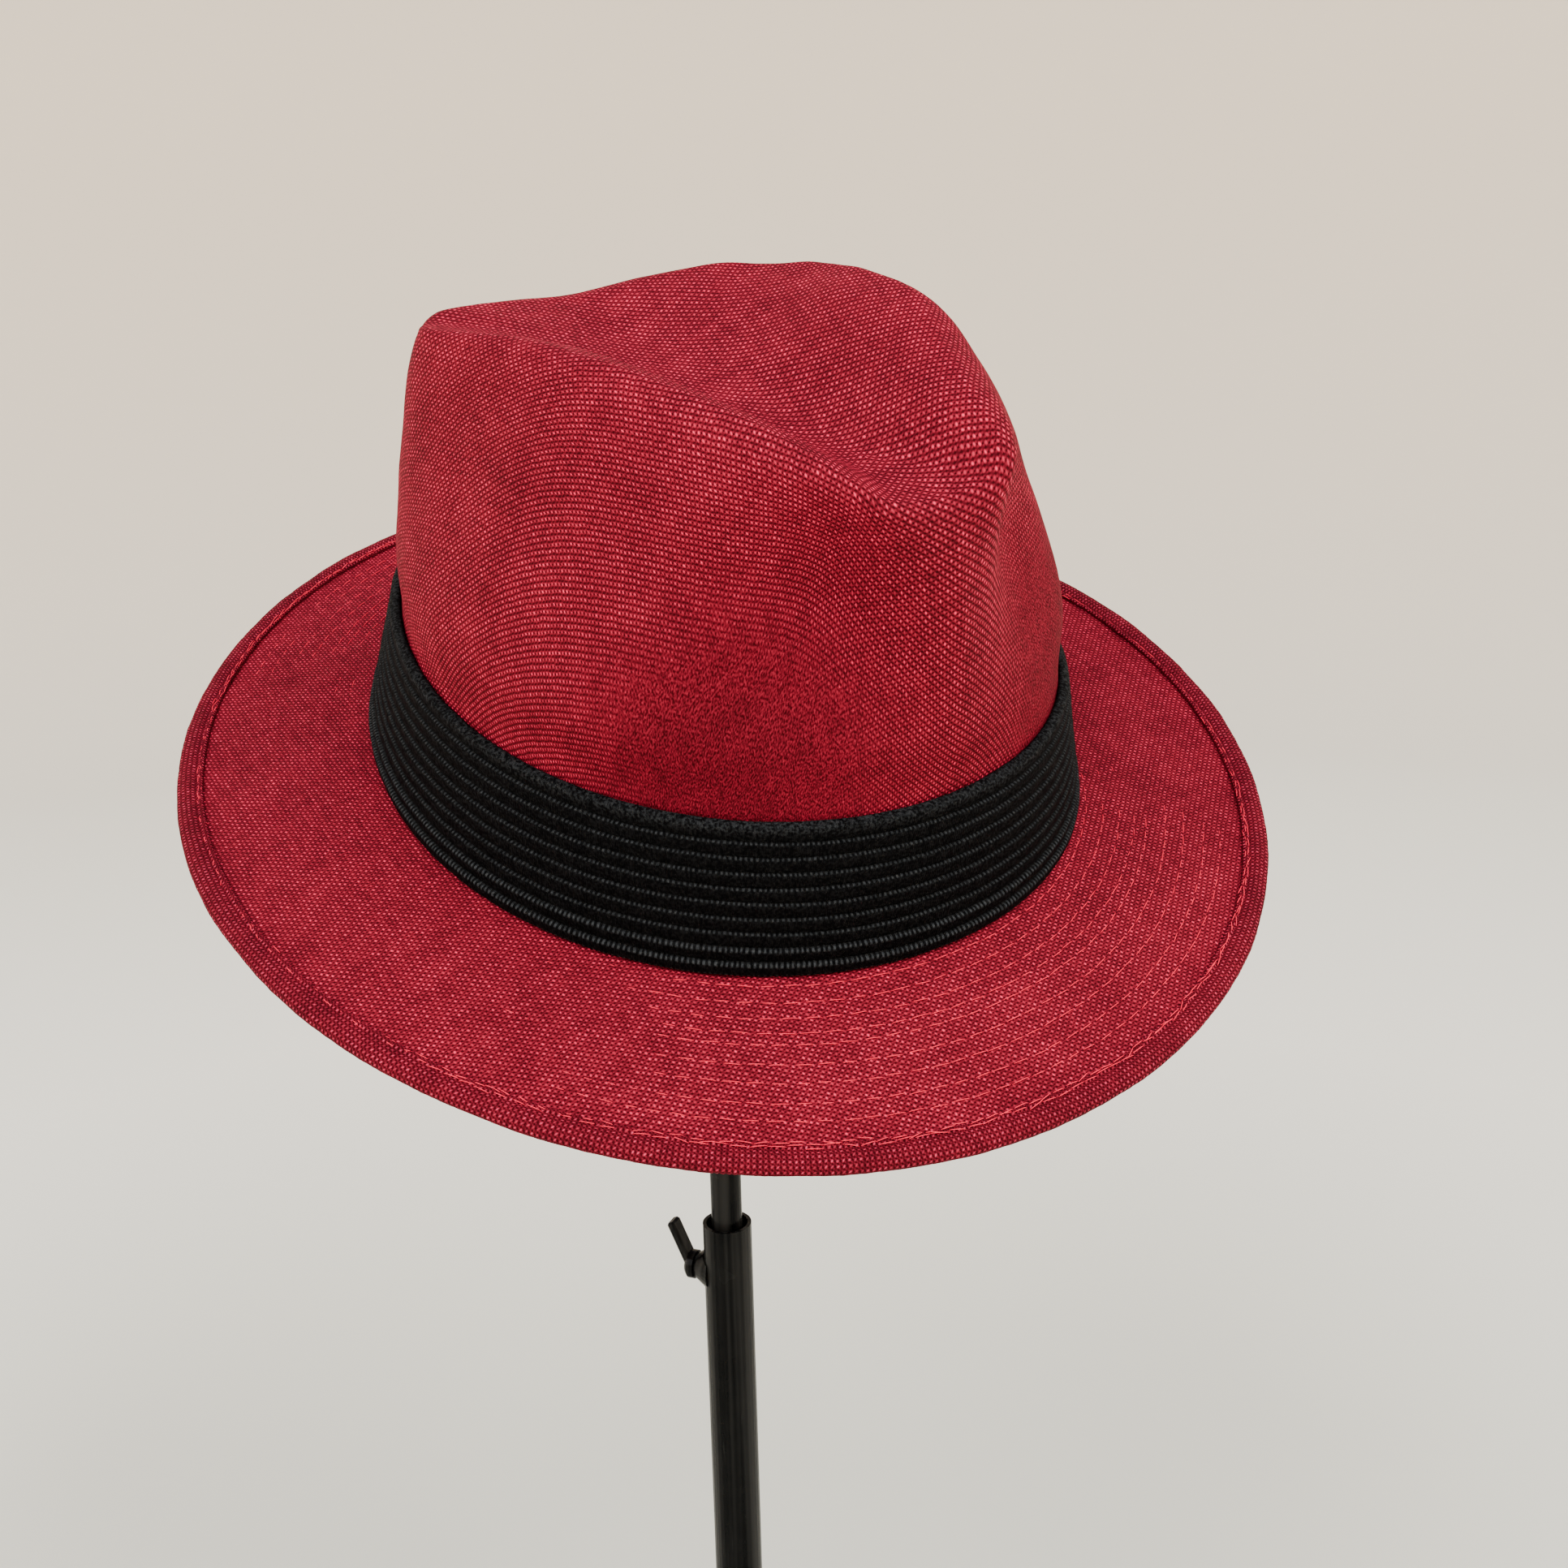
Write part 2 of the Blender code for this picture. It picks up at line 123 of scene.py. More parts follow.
def through_table(knots, values, turn, mirror):
    """Smooth curve through a half round table, mirrored to the other half (1 even, -1 odd)."""
    ring = np.concatenate([-knots[-2:0:-1], knots])
    heights = np.concatenate([mirror * values[-2:0:-1], values])
    ring = np.concatenate([ring[-2:] - 360.0, ring, ring[:2] + 360.0])
    heights = np.concatenate([heights[-2:], heights, heights[:2]])
    place = (np.degrees(turn) + 180.0) % 360.0 - 180.0
    at = np.clip(np.searchsorted(ring, place, side="right") - 1, 1, len(ring) - 3)
    k0, k1, k2, k3 = (ring[at + n] for n in (-1, 0, 1, 2))
    v0, v1, v2, v3 = (heights[at + n] for n in (-1, 0, 1, 2))
    span = k2 - k1
    t = (place - k1) / span
    slope1 = (v2 - v0) / (k2 - k0) * span
    slope2 = (v3 - v1) / (k3 - k1) * span
    return ((2 * t**3 - 3 * t**2 + 1) * v1 + (t**3 - 2 * t**2 + t) * slope1
            + (3 * t**2 - 2 * t**3) * v2 + (t**3 - t**2) * slope2)


def outward(turn):
    """Level direction away from the head opening's oval."""
    way = join(np.sin(turn) / CROWN_WIDTH, -np.cos(turn) / CROWN_LENGTH)
    return way / np.linalg.norm(way, axis=-1, keepdims=True)


def oval(turn, outset):
    """Point on the crown's foot oval, moved outwards by the outset."""
    fullness = 1 + FRONT_FULLNESS * np.cos(turn)
    foot = join(CROWN_WIDTH / 2 * np.sin(turn) * fullness, -CROWN_LENGTH / 2 * np.cos(turn))
    return foot + outward(turn) * np.asarray(outset)[..., None]


def crest_line(turn):
    side = through_table(CREST[:, 0], CREST[:, 1], turn, -1)
    forward = through_table(CREST[:, 0], CREST[:, 2], turn, 1)
    up = through_table(CREST[:, 0], CREST[:, 3], turn, 1)
    return join(CREST_WIDTH / 2 * side, CREST_BACK - CREST_LENGTH * forward, CREST_HEIGHT * up)


def dent_floor(turn):
    middle = (DENT_BACK - DENT_FRONT) / 2
    reach = (DENT_BACK + DENT_FRONT) / 2
    height = CREST_HEIGHT - DENT_DEPTH + DENT_SADDLE * np.maximum(0.0, np.cos(turn))**4
    return join(0.0, middle - reach * np.cos(turn), height)


def pinch(turn, up):
    """How far the wall is pressed in; nothing at the band and at the crest."""
    degrees = np.abs((np.degrees(turn) + 180.0) % 360.0 - 180.0)
    around = (degrees - PINCH_TURN) / PINCH_SPREAD
    rise = (up - PINCH_RISE) / PINCH_TALL
    fade = min(1.0, up / PINCH_FADE) * (1 - up**CREST_HOLD)
    return PINCH_DEPTH * np.exp(-around**2 - rise**2) * fade


def crown_sections(turn):
    """Outside of the crown from the brim up the wall, over the crest and down to the dent's floor."""
    rows = []
    for share in (0.0, 0.5):
        height = FOOT_HEIGHT + (BAND_HEIGHT - FOOT_HEIGHT) * share
        foot = oval(turn, -CROWN_TAPER * share)
        rows.append(join(foot[:, 0], foot[:, 1], height))
    start = oval(turn, -CROWN_TAPER)
    crest = crest_line(turn)
    floor = dent_floor(turn)
    front = np.maximum(0.0, np.cos(turn))**2
    back = np.maximum(0.0, -np.cos(turn))**2
    side = 1 - front - back
    for up, in_front, in_side, in_back in WALL:
        inset = (front * in_front + side * in_side + back * in_back)[:, None]
        place = start + (crest[:, :2] - start) * inset - outward(turn) * pinch(turn, up)[:, None]
        rows.append(join(place[:, 0], place[:, 1], BAND_HEIGHT + (crest[:, 2] - BAND_HEIGHT) * up))
    for inset, drop in DENT:
        place = crest[:, :2] + (floor[:, :2] - crest[:, :2]) * inset
        rows.append(join(place[:, 0], place[:, 1], crest[:, 2] + (floor[:, 2] - crest[:, 2]) * drop))
    return np.stack(rows, 1)


def finer(sections, fine):
    """Smooth rows between the rows of the sections, with the dent's far side as the next one."""
    before = 2 * sections[:, :1] - sections[:, 1:2]
    after = sections[:, -2:-1] * (-1, 1, 1)
    rows = np.concatenate([before, sections, after], 1)
    share = (np.arange(fine) / fine)[None, None, :, None]
    p0, p1, p2, p3 = (rows[:, n:len(rows[0]) - 3 + n, None] for n in range(4))
    smooth = 0.5 * (2 * p1 + (p2 - p0) * share + (2 * p0 - 5 * p1 + 4 * p2 - p3) * share**2
                    + (3 * p1 - p0 - 3 * p2 + p3) * share**3)
    smooth = smooth.reshape(len(rows), -1, 3)
    return np.concatenate([smooth, sections[:, -1:]], 1)


def hat_placement():
    turn = math.radians(HAT_LEAN_TURN)
    axis = Vector((0, 0, 1)).cross(Vector((-math.sin(turn), -math.cos(turn), 0)))
    return Matrix.Translation(HAT_MIDDLE) @ Matrix.Rotation(math.radians(HAT_LEAN), 4, axis)


def sewn_round(name, points, threads, closed=False):
    """Mesh through sections set all round the hat, with its cloth's thread counts as a UV map."""
    around, steps = points.shape[:2]
    columns = np.arange(around)[:, None]
    rows = np.arange(steps if closed else steps - 1)[None, :]
    corners = [(columns, rows), (columns + 1, rows), (columns + 1, rows + 1), (columns, rows + 1)]
    corners = [np.broadcast_arrays(*corner) for corner in corners]
    faces = np.stack([(c % around) * steps + r % steps for c, r in corners], -1).reshape(-1, 4)
    mesh = bpy.data.meshes.new(name)
    mesh.from_pydata(points.reshape(-1, 3).tolist(), [], faces.tolist())
    chart = mesh.uv_layers.new(name="threads")
    places = np.stack([threads[c, r] for c, r in corners], 2)
    chart.data.foreach_set("uv", places.reshape(-1).astype(np.float32))
    work = bmesh.new()
    work.from_mesh(mesh)
    bmesh.ops.remove_doubles(work, verts=work.verts, dist=MERGE_DISTANCE)
    bmesh.ops.dissolve_degenerate(work, edges=work.edges, dist=MERGE_DISTANCE)
    bmesh.ops.recalc_face_normals(work, faces=work.faces)
    work.to_mesh(mesh)
    work.free()
    mesh.shade_smooth()
    return mesh


def work_by_hand(mesh, swell, span, nubs=0.0, nub_span=0.001):
    """Slight unevenness that blocking by hand leaves in the cloth, and its nubs at the edges."""
    for vertex, normal in zip(mesh.vertices, [n.vector.copy() for n in mesh.vertex_normals]):
        lift = swell * noise.fractal(vertex.co / span, 1.0, 2.0, 3)
        if nubs:
            lift += nubs * noise.noise(vertex.co / nub_span)
        vertex.co += normal * lift


def put_on_stand(name, mesh, material, slot, *stands_for):
    """Makes a piece of the mesh, leans it with the hat and hides the CAD nodes it replaces."""
    mesh.transform(hat_placement())
    mesh.materials.append(material)
    piece = bpy.data.objects.new(name, mesh)
    bpy.context.scene.collection.objects.link(piece)
    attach(piece, "root")
    if stands_for:
        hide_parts(*stands_for)
    return piece


def add_node(tree, kind, inputs=(), **settings):
    """One shader node. Numbers are set on its sockets and other nodes' outputs are linked."""
    made = tree.nodes.new("ShaderNode" + kind)
    for setting, value in settings.items():
        setattr(made, setting, value)
    for socket, value in dict(inputs).items():
        if isinstance(value, bpy.types.NodeSocket):
            tree.links.new(value, made.inputs[socket])
        else:
            made.inputs[socket].default_value = value
    return made


def figure(tree, operation, *values, clamp=False):
    made = add_node(tree, "Math", enumerate(values), operation=operation, use_clamp=clamp)
    return made.outputs[0]


def tint(tree, share, first, second, how="MIX"):
    """Mixes two colours by a share from 0 to 1."""
    made = add_node(tree, "Mix", {0: share, 6: first, 7: second}, data_type="RGBA", blend_type=how)
    return made.outputs[2]


def spread(tree, value, low, high, to_low=0.0, to_high=1.0, clamp=True):
    """Stretches a value from one range to another."""
    made = add_node(tree, "MapRange", {0: value, 1: low, 2: high, 3: to_low, 4: to_high}, clamp=clamp)
    return made.outputs[0]


def new_group(name, inputs, outputs):
    """Empty shader node group, with its own input and output nodes."""
    group = bpy.data.node_groups.new(name, "ShaderNodeTree")
    for title, kind in inputs:
        group.interface.new_socket(title, in_out="INPUT", socket_type="NodeSocket" + kind)
    for title, kind in outputs:
        group.interface.new_socket(title, in_out="OUTPUT", socket_type="NodeSocket" + kind)
    return group, group.nodes.new("NodeGroupInput"), group.nodes.new("NodeGroupOutput")


NUB_LENGTH = 0.30            # how much slower a nub falls off along its thread than across
NUB_SLANT = 0.35             # how far the yarn's twist sets the nubs in diagonal rows
YARN_APART = 3.7             # step of the noise from one yarn to the next
YARN_SLOW = 0.09             # and along a yarn, for each thread that it crosses


def make_weave():
    """Plain weave from thread counts: a nub wherever a thread passes over, uneven as spun yarn is."""
    group, given, out = new_group(
        "plain_weave",
        (("Threads", "Vector"), ("Wander", "Float"), ("Roundness", "Float"), ("Rows", "Float"),
         ("Felted", "Float")),
        (("Nub", "Float"), ("Highlight chance", "Float"), ("Yarn tint", "Float")),
    )
    wobble = add_node(group, "TexNoise",
                      {"Vector": given.outputs["Threads"], "Scale": 0.45, "Detail": 0.0})
    centred = add_node(group, "VectorMath", {0: wobble.outputs["Color"], 1: (0.5, 0.5, 0.5)},
                       operation="SUBTRACT")
    moved = add_node(group, "VectorMath", {0: centred.outputs[0], "Scale": given.outputs["Wander"]},
                     operation="SCALE")
    threads = add_node(group, "VectorMath", {0: given.outputs["Threads"], 1: moved.outputs[0]},
                       operation="ADD")
    counts = add_node(group, "SeparateXYZ", {0: threads.outputs[0]})
    warp, weft = counts.outputs[0], counts.outputs[1]
    warp_turn = figure(group, "MULTIPLY", warp, math.pi)
    weft_turn = figure(group, "MULTIPLY", weft, math.pi)
    warp_wave = figure(group, "COSINE", warp_turn)
    weft_wave = figure(group, "COSINE", weft_turn)
    # A thread bulges across itself and dips under every other one that it meets
    warp_dip = figure(group, "MULTIPLY", figure(group, "SIGN", warp_wave), weft_wave)
    weft_dip = figure(group, "MULTIPLY", figure(group, "SIGN", weft_wave), warp_wave)
    warp_top = figure(group, "MULTIPLY_ADD", warp_dip, NUB_LENGTH, figure(group, "ABSOLUTE", warp_wave))
    weft_top = figure(group, "MULTIPLY_ADD", weft_dip, -NUB_LENGTH, figure(group, "ABSOLUTE", weft_wave))
    top = figure(group, "DIVIDE", figure(group, "MAXIMUM", warp_top, weft_top), 1 + NUB_LENGTH)
    # Warp nubs stand out more than weft nubs, and the yarn's twist slants them into diagonal rows
    slant = figure(group, "MULTIPLY", figure(group, "SINE", warp_turn), figure(group, "SINE", weft_turn))
    crossing = figure(group, "MULTIPLY", warp_wave, weft_wave)
    kind = figure(group, "MULTIPLY_ADD", slant, -NUB_SLANT, crossing)
    lower = figure(group, "MULTIPLY", figure(group, "SUBTRACT", 1.0, kind), 0.5)
    rows = figure(group, "SUBTRACT", 1.0, figure(group, "MULTIPLY", lower, given.outputs["Rows"]))
    round_top = figure(group, "POWER", figure(group, "MAXIMUM", top, 0.0), given.outputs["Roundness"])
    clear_nub = figure(group, "MULTIPLY", round_top, rows)
    # Where the cloth is felted by steam and pressing, loose fibre hides most of the nubs
    felt = add_node(group, "TexNoise", {"Vector": threads.outputs[0], "Scale": 1.5, "Detail": 0.0})
    fuzz = spread(group, felt.outputs[0], 0.30, 0.70, 0.22, 0.50)
    change = figure(group, "SUBTRACT", fuzz, clear_nub)
    covered = figure(group, "MULTIPLY", change, given.outputs["Felted"])
    nub = figure(group, "ADD", clear_nub, covered)
    warp_number = figure(group, "ROUND", warp)
    weft_number = figure(group, "ROUND", weft)
    cell = add_node(group, "CombineXYZ", {0: warp_number, 1: weft_number})
    chance = add_node(group, "TexWhiteNoise", {0: cell.outputs[0]}, noise_dimensions="2D")
    warp_way = add_node(group, "CombineXYZ", {
        0: figure(group, "MULTIPLY", warp_number, YARN_APART),
        1: figure(group, "MULTIPLY", weft, YARN_SLOW),
    })
    weft_way = add_node(group, "CombineXYZ", {
        0: figure(group, "MULTIPLY", warp, YARN_SLOW),
        1: figure(group, "MULTIPLY", weft_number, YARN_APART),
        2: 9.0,
    })
    warp_yarn = add_node(group, "TexNoise", {"Vector": warp_way.outputs[0], "Scale": 1.0, "Detail": 0.0})
    weft_yarn = add_node(group, "TexNoise", {"Vector": weft_way.outputs[0], "Scale": 1.0, "Detail": 0.0})
    both_yarns = figure(group, "ADD", warp_yarn.outputs[0], weft_yarn.outputs[0])
    yarns = figure(group, "MULTIPLY", both_yarns, 0.5)
    group.links.new(nub, out.inputs["Nub"])
    group.links.new(chance.outputs[0], out.inputs["Highlight chance"])
    group.links.new(yarns, out.inputs["Yarn tint"])
    return group


weave = make_weave()


def make_cloth(name, nub, glint, roundness, rows, felted=()):
    """Matt red cloth: painted shade in the gaps, red nubs and a painted highlight on a few of them, with
    felted places on it.
    """
    material = bpy.data.materials.new(name)
    material.use_nodes = True
    tree = material.node_tree
    shader = tree.nodes["Principled BSDF"]
    chart = add_node(tree, "UVMap", uv_map="threads").outputs[0]
    woven = add_node(tree, "Group", node_tree=weave)
    tree.links.new(chart, woven.inputs["Threads"])
    woven.inputs["Wander"].default_value = THREAD_WANDER
    woven.inputs["Roundness"].default_value = roundness
    woven.inputs["Rows"].default_value = rows
    place = add_node(tree, "TexCoord").outputs["Object"]
    patches = add_node(tree, "TexNoise", {"Vector": place, "Scale": 55.0, "Detail": 1.0}).outputs[0]
    if felted:
        away = [add_node(tree, "VectorMath", {0: place, 1: spot}, operation="DISTANCE").outputs["Value"]
                for spot in felted]
        nearest = figure(tree, "MINIMUM", *away)
        ragged = figure(tree, "MULTIPLY_ADD", patches, -FELTED_RAGGED, nearest)
        share = spread(tree, ragged, FELTED_REACH, FELTED_REACH / 3, 0.0, FELTED_MOST)
        tree.links.new(share, woven.inputs["Felted"])
    # Painted shade: the low gaps between the nubs take the dark gap colour.
    raised = spread(tree, woven.outputs["Nub"], 0.26, 0.82)
    ground = tint(tree, raised, CLOTH_GAP_SHADE, nub)
    # Painted highlight: a few raised nubs, picked at random, get the glint colour.
    bright = figure(tree, "MULTIPLY", spread(tree, woven.outputs["Highlight chance"], 0.35, 1.0),
                    spread(tree, woven.outputs["Nub"], 0.55, 1.0))
    lit = tint(tree, bright, ground, glint)
    yarn = spread(tree, woven.outputs["Yarn tint"], 0.35, 0.65, 0.78, 1.22)
    patch = spread(tree, patches, 0.32, 0.68, 0.93, 1.13)
    level = figure(tree, "MULTIPLY", yarn, patch)
    shade = add_node(tree, "CombineColor", {0: level, 1: level, 2: level}).outputs[0]
    colour = tint(tree, 1.0, lit, shade, "MULTIPLY")
    tree.links.new(colour, shader.inputs["Base Color"])
    tree.links.new(spread(tree, woven.outputs["Nub"], 0.0, 1.0, 0.85, 0.58), shader.inputs["Roughness"])
    fibre = add_node(tree, "TexNoise", {"Vector": place, "Scale": 4200.0, "Detail": 0.0}).outputs[0]
    height = figure(tree, "ADD", woven.outputs["Nub"], figure(tree, "MULTIPLY", fibre, FIBRE_SHARE))
    bump = add_node(tree, "Bump", {"Strength": 1.0, "Distance": CLOTH_BUMP, "Height": height})
    tree.links.new(bump.outputs[0], shader.inputs["Normal"])
    shader.inputs["Specular IOR Level"].default_value = 0.05
    shader.inputs["Specular Tint"].default_value = (1.0, 0.42, 0.48, 1.0)
    return material


# Where the crown was pressed most and its cloth is felted: turn from the front in degrees, height
FELTED = ((-36.0, 0.047), (36.0, 0.042))
FELTED_REACH = 0.031
FELTED_RAGGED = 0.020
FELTED_MOST = 0.86
THREAD_WANDER = 0.5
CLOTH_BUMP = 0.00044
FIBRE_SHARE = 0.25
# Painted shade colour for the gaps between the nubs
CLOTH_GAP_SHADE = (0.040, 0.0008, 0.0028, 1.0)
CLOTH_NUB = (0.378, 0.0150, 0.0400, 1.0)
# Painted highlight colour for a few raised nubs
CLOTH_GLINT = (0.93, 0.026, 0.100, 1.0)
felted = []
for turn, height in FELTED:
    level = oval(np.radians([turn]), -CROWN_TAPER)[0]
    felted.append(hat_placement() @ Vector((level[0], level[1], height)))
red_cloth = make_cloth("red_crown_cloth", CLOTH_NUB, CLOTH_GLINT, roundness=0.95, rows=0.68,
                       felted=felted)

WARP_TOP = 0.80              # threads per millimetre across the top
WEFT_TOP = 0.98
WARP_SKEW = 0.27             # how far the cloth lies askew on the form
WEFT_SKEW = 0.18
WARP_DOWN = 1.08             # threads per millimetre of wall below the top
WEFT_DOWN = 1.26
WARP_PULL = 0.30
LEFT_PULL = 0.40
PULL_START = 12              # millimetres of wall over which the walls' pull sets in
PULL_TURN = 1.5
crown_turns = all_round(CROWN_AROUND)
crown_points = finer(crown_sections(crown_turns), CROWN_FINE)
# The cloth's threads run straight over the top and on down the front, back and sides. Between those
# the walls pull them askew, so down there they count by the wall's own length below the top.
steps = np.linalg.norm(np.diff(crown_points[:, ::-1], axis=1), axis=-1)
reach = np.concatenate([np.zeros((CROWN_AROUND, 1)), np.cumsum(steps, 1)], 1)[:, ::-1]
level_reach = np.linalg.norm(crown_points[..., :2] - crown_points[:, -1:, :2], axis=-1)
down = (reach - level_reach) * 1000
sideways = np.sin(crown_turns)[:, None]
backwards = -np.cos(crown_turns)[:, None]
x = crown_points[..., 0] * 1000
y = crown_points[..., 1] * 1000
on_wall = 1 - np.exp(-down / PULL_START)
left = np.maximum(0.0, -sideways)**2
warp = (WARP_TOP + WARP_PULL * on_wall) * x - (WARP_SKEW - LEFT_PULL * left * on_wall) * y
warp += WARP_DOWN * down * np.sign(sideways) * np.abs(sideways)**PULL_TURN
weft = WEFT_TOP * y - WEFT_SKEW * x
weft += WEFT_DOWN * down * np.sign(backwards) * np.abs(backwards)**PULL_TURN
crown_threads = join(warp, weft)
crown_threads = np.concatenate([crown_threads, crown_threads[:1]], 0)
crown_mesh = sewn_round("crown_cloth", crown_points, crown_threads)
work_by_hand(crown_mesh, swell=0.00030, span=0.022)
crown = put_on_stand("crown_cloth", crown_mesh, red_cloth, "red_cloth", "crown")
crown_wall = crown.modifiers.new("wall", "SOLIDIFY")
crown_wall.thickness = CROWN_WALL
crown_wall.offset = -1.0
crown_wall.use_even_offset = True

# Brim: the same cloth, stiffened and snapped down in front and on one side, with nine rows of
# stitching. It starts just inside the head opening and is folded into the hem at its edge.
BAND_THICKNESS = 0.0025
GAP = 0.0003
BRIM_WIDTH = 0.0472
BRIM_THICKNESS = 0.0016
BRIM_EDGE = 0.0459           # from the band to where the cloth goes into the hem
BRIM_AROUND = 400
STITCH_ROWS = (0.0016, 0.0061, 0.0102, 0.0139, 0.0169, 0.0218, 0.0263, 0.0312, 0.0353)
ROW_SINK = 0.00007           # how deep a row of stitches draws the cloth in
ROW_SPREAD = 0.0009
ROW_SIDE = 0.0004            # from a row to the extra rings of mesh beside it
BRIM_RINGS = 46
BRIM_WARP = 1.05             # threads per millimetre
BRIM_WEFT = 1.26
# Slope of the brim in degrees, up positive, as waves round the hat: waves round the hat, part that
# peaks in front, part that peaks at the +X side
BRIM_WAVES = (
    (0, -4.8, 0.0),
    (1, -1.7, 4.8),
    (2, -3.7, -1.8),
    (3, -1.4, 0.0),
)


def brim_slope(turn):
    waves = (even * np.cos(n * turn) + odd * np.sin(n * turn) for n, even, odd in BRIM_WAVES)
    return np.radians(sum(waves))


def brim_points(turn, out, lift):
    """Places on the brim: out from the band along the slope, lifted off its upper side."""
    slope = brim_slope(turn)
    level = oval(turn, BAND_THICKNESS + GAP + out * np.cos(slope) - lift * np.sin(slope))
    return join(level[..., 0], level[..., 1], out * np.sin(slope) + lift * np.cos(slope))


def row_sink(out):
    return sum(ROW_SINK * np.exp(-((out - row) / ROW_SPREAD)**2) for row in STITCH_ROWS)


def brim_threads(points):
    x = points[..., 0] * 1000
    y = points[..., 1] * 1000
    return join(BRIM_WARP * x - 0.08 * y, 0.07 * x + BRIM_WEFT * y)


brim_turns = all_round(BRIM_AROUND)
brim_outs = [BRIM_EDGE * n / BRIM_RINGS for n in range(BRIM_RINGS + 1)]
brim_outs += [row + step for row in STITCH_ROWS for step in (-ROW_SIDE, 0.0, ROW_SIDE)]
brim_outs = np.array(sorted(brim_outs))
brim_rows = brim_points(brim_turns[:, None], brim_outs[None, :], -row_sink(brim_outs)[None, :])
inner = oval(brim_turns, -CROWN_WALL)
inner = join(inner[:, 0], inner[:, 1], 0.0)[:, None]
brim_rows = np.concatenate([inner, brim_rows], 1)
threads = brim_threads(brim_rows)
brim_mesh = sewn_round("brim_cloth", brim_rows, np.concatenate([threads, threads[:1]], 0))
work_by_hand(brim_mesh, swell=0.00022, span=0.018)
# Painted shade: the brim's colours are a darker copy of the crown cloth's, for the flat angle at which
# the brim is seen.
BRIM_SHADED_NUB = (0.345, 0.0150, 0.0380, 1.0)
BRIM_SHADED_GLINT = (0.88, 0.026, 0.098, 1.0)
brim_cloth = make_cloth("red_brim_cloth", BRIM_SHADED_NUB, BRIM_SHADED_GLINT, roundness=1.00, rows=0.60)
brim = put_on_stand("brim_cloth", brim_mesh, brim_cloth, "red_cloth", "brim")
brim_wall = brim.modifiers.new("wall", "SOLIDIFY")
brim_wall.thickness = BRIM_THICKNESS
brim_wall.offset = -1.0

# Hem: a bias strip of the same cloth, folded over the brim's edge and sewn down near its inner
# edge with two close rows. The sewing puckers it a little.
HEM_AROUND = 1000
HEM_PUCKER = 0.00016
HEM_PUCKER_PITCH = 0.0047
HEM_SEAM = 0.0418
HEM_SEAM_SPREAD = 0.0016
HEM_WANDER = 0.0003
HEM_THREADS = 0.85           # per millimetre
# Outline of the hem in millimetres: out from the band, lift off the brim's upper side
HEM_OUTLINE = np.array((
    (40.95, -0.10),
    (40.78, 0.35),
    (40.84, 0.84),
    (41.12, 1.19),
    (41.58, 1.22),
    (42.15, 0.86),
    (42.70, 1.04),
    (43.40, 1.40),
    (44.30, 1.47),
    (45.20, 1.44),
    (46.00, 1.30),
    (46.70, 1.00),
    (47.15, 0.50),
    (47.32, -0.15),
    (47.22, -0.85),
    (46.80, -1.40),
    (46.10, -1.76),
    (45.20, -1.88),
    (44.30, -1.84),
    (43.70, -1.70),
    (43.90, -1.30),
    (45.60, -0.80),
    (45.80, -0.20),
    (43.00, -0.20),
)) / 1000

hem_turns = all_round(HEM_AROUND)
hem_out, hem_lift = HEM_OUTLINE.T
edge_line = brim_points(hem_turns, BRIM_WIDTH, 0.0)
edge_steps = np.linalg.norm(np.roll(edge_line, -1, 0) - edge_line, axis=-1)
edge_reach = np.concatenate([[0.0], np.cumsum(edge_steps)])
puckers = round(edge_reach[-1] / HEM_PUCKER_PITCH)
pucker = np.sin(edge_reach[:-1] / edge_reach[-1] * 2 * math.pi * puckers)[:, None]
near_stitch = np.exp(-((hem_out - HEM_SEAM) / HEM_SEAM_SPREAD)**2) * (hem_lift > 0)
wander = np.array([noise.noise(Vector(p) / 0.03) for p in edge_line])[:, None]
hem_points = brim_points(
    hem_turns[:, None],
    hem_out + HEM_WANDER * wander * near_stitch,
    hem_lift + HEM_PUCKER * pucker * near_stitch,
)
strip_step = np.linalg.norm(np.diff(HEM_OUTLINE, axis=0, append=HEM_OUTLINE[:1]), axis=-1)
strip_reach = np.concatenate([[0.0], np.cumsum(strip_step)])
bias_threads = 2 * round(edge_reach[-1] * 1000 * HEM_THREADS / 2)
lengthwise = edge_reach[:, None] / edge_reach[-1] * bias_threads
crosswise = strip_reach[None, :] * 1000 * HEM_THREADS
hem_threads = join(lengthwise + crosswise, lengthwise - crosswise)
hem_mesh = sewn_round("hem_strip", hem_points, hem_threads, closed=True)
work_by_hand(hem_mesh, swell=0.00020, span=0.016, nubs=0.00008, nub_span=0.0011)
# Painted shade: the hem's colours are a darker copy of the crown cloth's, for the flat angle at which it
# is seen.
HEM_SHADED_NUB = (0.290, 0.0150, 0.036, 1.0)
HEM_SHADED_GLINT = (0.60, 0.037, 0.098, 1.0)
hem_cloth = make_cloth("red_hem_cloth", HEM_SHADED_NUB, HEM_SHADED_GLINT, roundness=1.15, rows=0.66)
put_on_stand("hem_strip", hem_mesh, hem_cloth, "red_cloth", "brim_hem")

# Brim stitching: thin bright red thread, machine-sewn in nine rows round the brim and in two close,
# less even rows on the hem. The same stitches show from below, half a stitch on.
STITCH_PITCH = 0.00485
STITCH_SHARE = 0.80          # share of the pitch that shows, and the rest is down in the cloth
THREAD_RADIUS = 0.00012
SIDE_SINK = 0.00055          # how much deeper the stitches lie where they cross the weft
ROW_LIFT = 0.00012
ROW_UNEVEN = 0.00008
ROW_START = 0.37             # share of a stitch by which each row starts after the last
UNDER_DROP = 0.0001
THREAD_SIDES = 6
THREAD_RINGS = 7


